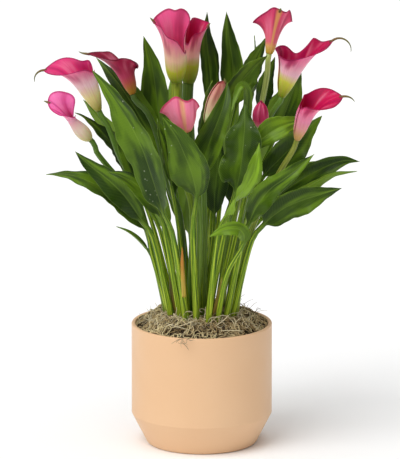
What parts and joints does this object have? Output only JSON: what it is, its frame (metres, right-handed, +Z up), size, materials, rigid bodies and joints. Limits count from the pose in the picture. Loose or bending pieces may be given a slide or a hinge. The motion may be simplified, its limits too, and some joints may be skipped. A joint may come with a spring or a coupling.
{
  "type": "potted calla lily",
  "caption": "Potted calla lily with rolled trumpet blooms on upright stems over a dense clump of pointed leaves, in a round chamfered ceramic pot topped with moss.",
  "frame": {"origin": "centre of the pot's underside, on the surface that it stands on", "axes": "+Z up along the pot's axis; -Y toward the viewer of the picture; +X to that viewer's right"},
  "size_m": [0.3687, 0.2832, 0.5086],
  "materials": {
    "pot": "satin ceramic glaze, peach",
    "soil": "loose dark peat compost",
    "moss": "dried tangled moss strands",
    "leaf": "smooth waxy leaf with fine side veins",
    "stem": "smooth fleshy stem",
    "spathe": "satin petal-like sheet, magenta with a pale throat and a yellow-green base"
  },
  "bodies": {
    "root": {"bloom_01_spathe": "spathe", "bloom_01_stem": "stem", "bloom_02_spathe": "spathe", "bloom_02_stem": "stem", "bloom_03_spathe": "spathe", "bloom_03_stem": "stem", "bloom_04_spathe": "spathe", "bloom_04_stem": "stem", "bloom_05_spathe": "spathe", "bloom_05_stem": "stem", "bloom_06_spathe": "spathe", "bloom_06_stem": "stem", "bloom_07_spathe": "spathe", "bloom_07_stem": "stem", "bloom_08_spathe": "spathe", "bloom_08_stem": "stem", "bloom_09_spathe": "spathe", "bloom_09_stem": "stem", "bloom_10_spathe": "spathe", "bloom_10_stem": "stem", "bloom_11_spathe": "spathe", "bloom_11_stem": "stem", "leaf_01": "leaf", "leaf_02": "leaf", "leaf_03": "leaf", "leaf_04": "leaf", "leaf_05": "leaf", "leaf_06": "leaf", "leaf_07": "leaf", "leaf_08": "leaf", "leaf_09": "leaf", "leaf_10": "leaf", "leaf_11": "leaf", "leaf_12": "leaf", "leaf_13": "leaf", "leaf_14": "leaf", "leaf_15": "leaf", "leaf_16": "leaf", "leaf_17": "leaf", "leaf_18": "leaf", "leaf_19": "leaf", "leaf_20": "leaf", "leaf_21": "leaf", "leaf_22": "leaf", "leaf_23": "leaf", "leaf_24": "leaf", "leaf_25": "leaf", "leaf_26": "leaf", "leaf_27": "leaf", "leaf_28": "leaf", "leaf_29": "leaf", "leaf_30": "leaf", "leaf_31": "leaf", "leaf_32": "leaf", "leaf_pair_33": "leaf", "leaf_pair_34": "leaf", "leaf_pair_35": "leaf", "moss": "moss", "pot": "pot", "soil": "soil"}
  },
  "joints": []
}
